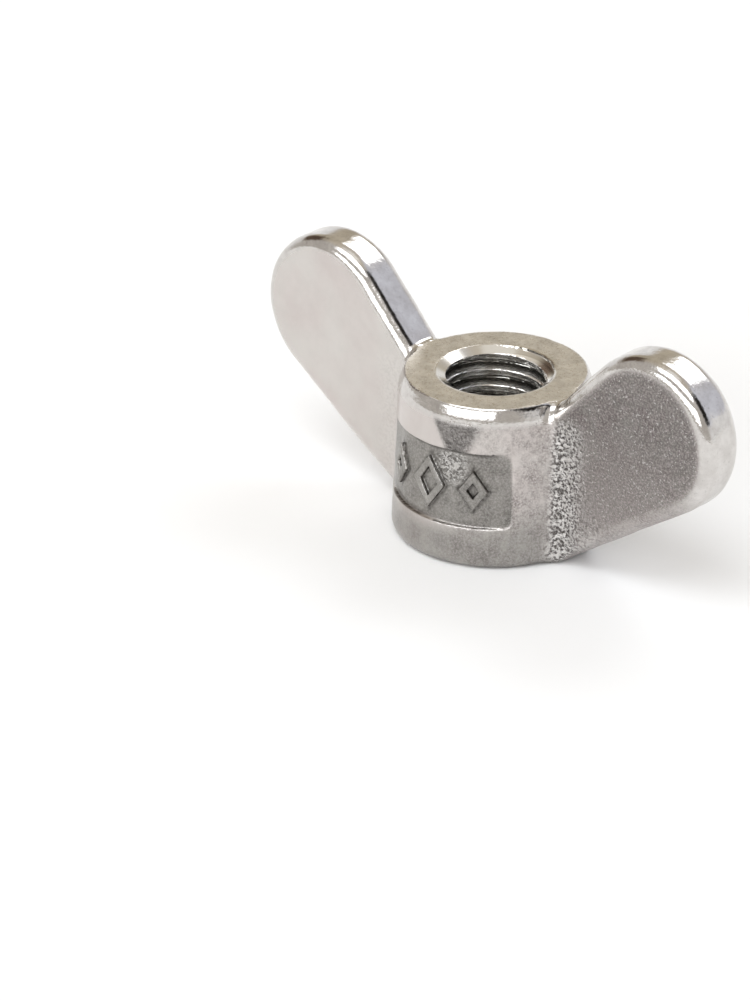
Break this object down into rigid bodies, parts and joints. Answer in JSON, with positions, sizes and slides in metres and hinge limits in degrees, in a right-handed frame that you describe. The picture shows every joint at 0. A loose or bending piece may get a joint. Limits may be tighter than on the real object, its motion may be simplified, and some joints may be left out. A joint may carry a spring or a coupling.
{
  "type": "wing nut",
  "caption": "Round-wing nut: a tapered round hub with a metric coarse threaded bore and broad upswept wings with rounded tips, for tightening by hand.",
  "frame": {"origin": "centre of the flat bearing face, on the thread's axis", "axes": "+Z along the thread, away from the bearing face; wings along X; the marked panel faces -Y"},
  "size_m": [0.05, 0.0176, 0.0216],
  "materials": {
    "stainless_steel": "as-cast fine-grained satin on the wing faces, polished on the wing edges, ground flat on top of the hub"
  },
  "bodies": {
    "root": {"wing_nut": "stainless_steel"}
  },
  "joints": []
}
